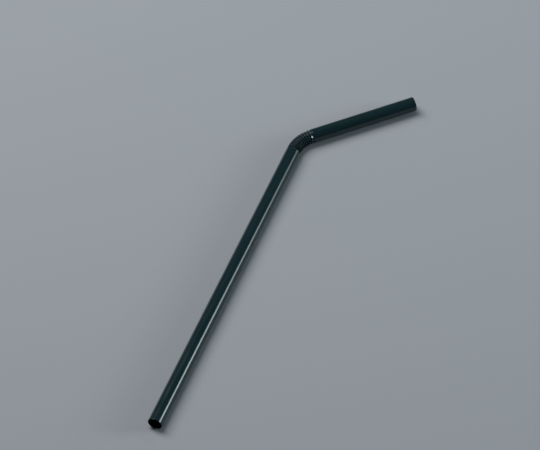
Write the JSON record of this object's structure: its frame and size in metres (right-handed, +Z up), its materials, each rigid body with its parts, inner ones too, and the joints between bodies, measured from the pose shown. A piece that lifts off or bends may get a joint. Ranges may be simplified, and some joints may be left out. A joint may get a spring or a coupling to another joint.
{
  "type": "flexible drinking straw",
  "caption": "Flexible plastic drinking straw lying bent at its folded neck: a thin open tube with a long leg and a short leg, both cut square.",
  "frame": {"origin": "on the table, at the middle of the straw's bounding box", "axes": "+Z up from the table, +Y along the long leg from its mouth to the neck, the short leg turns towards +X"},
  "size_m": [0.0426, 0.1944, 0.006],
  "materials": {
    "dark_plastic": "smooth glossy extruded polypropylene, near black with a green tint"
  },
  "bodies": {
    "root": {"drinking_straw": "dark_plastic"}
  },
  "joints": []
}
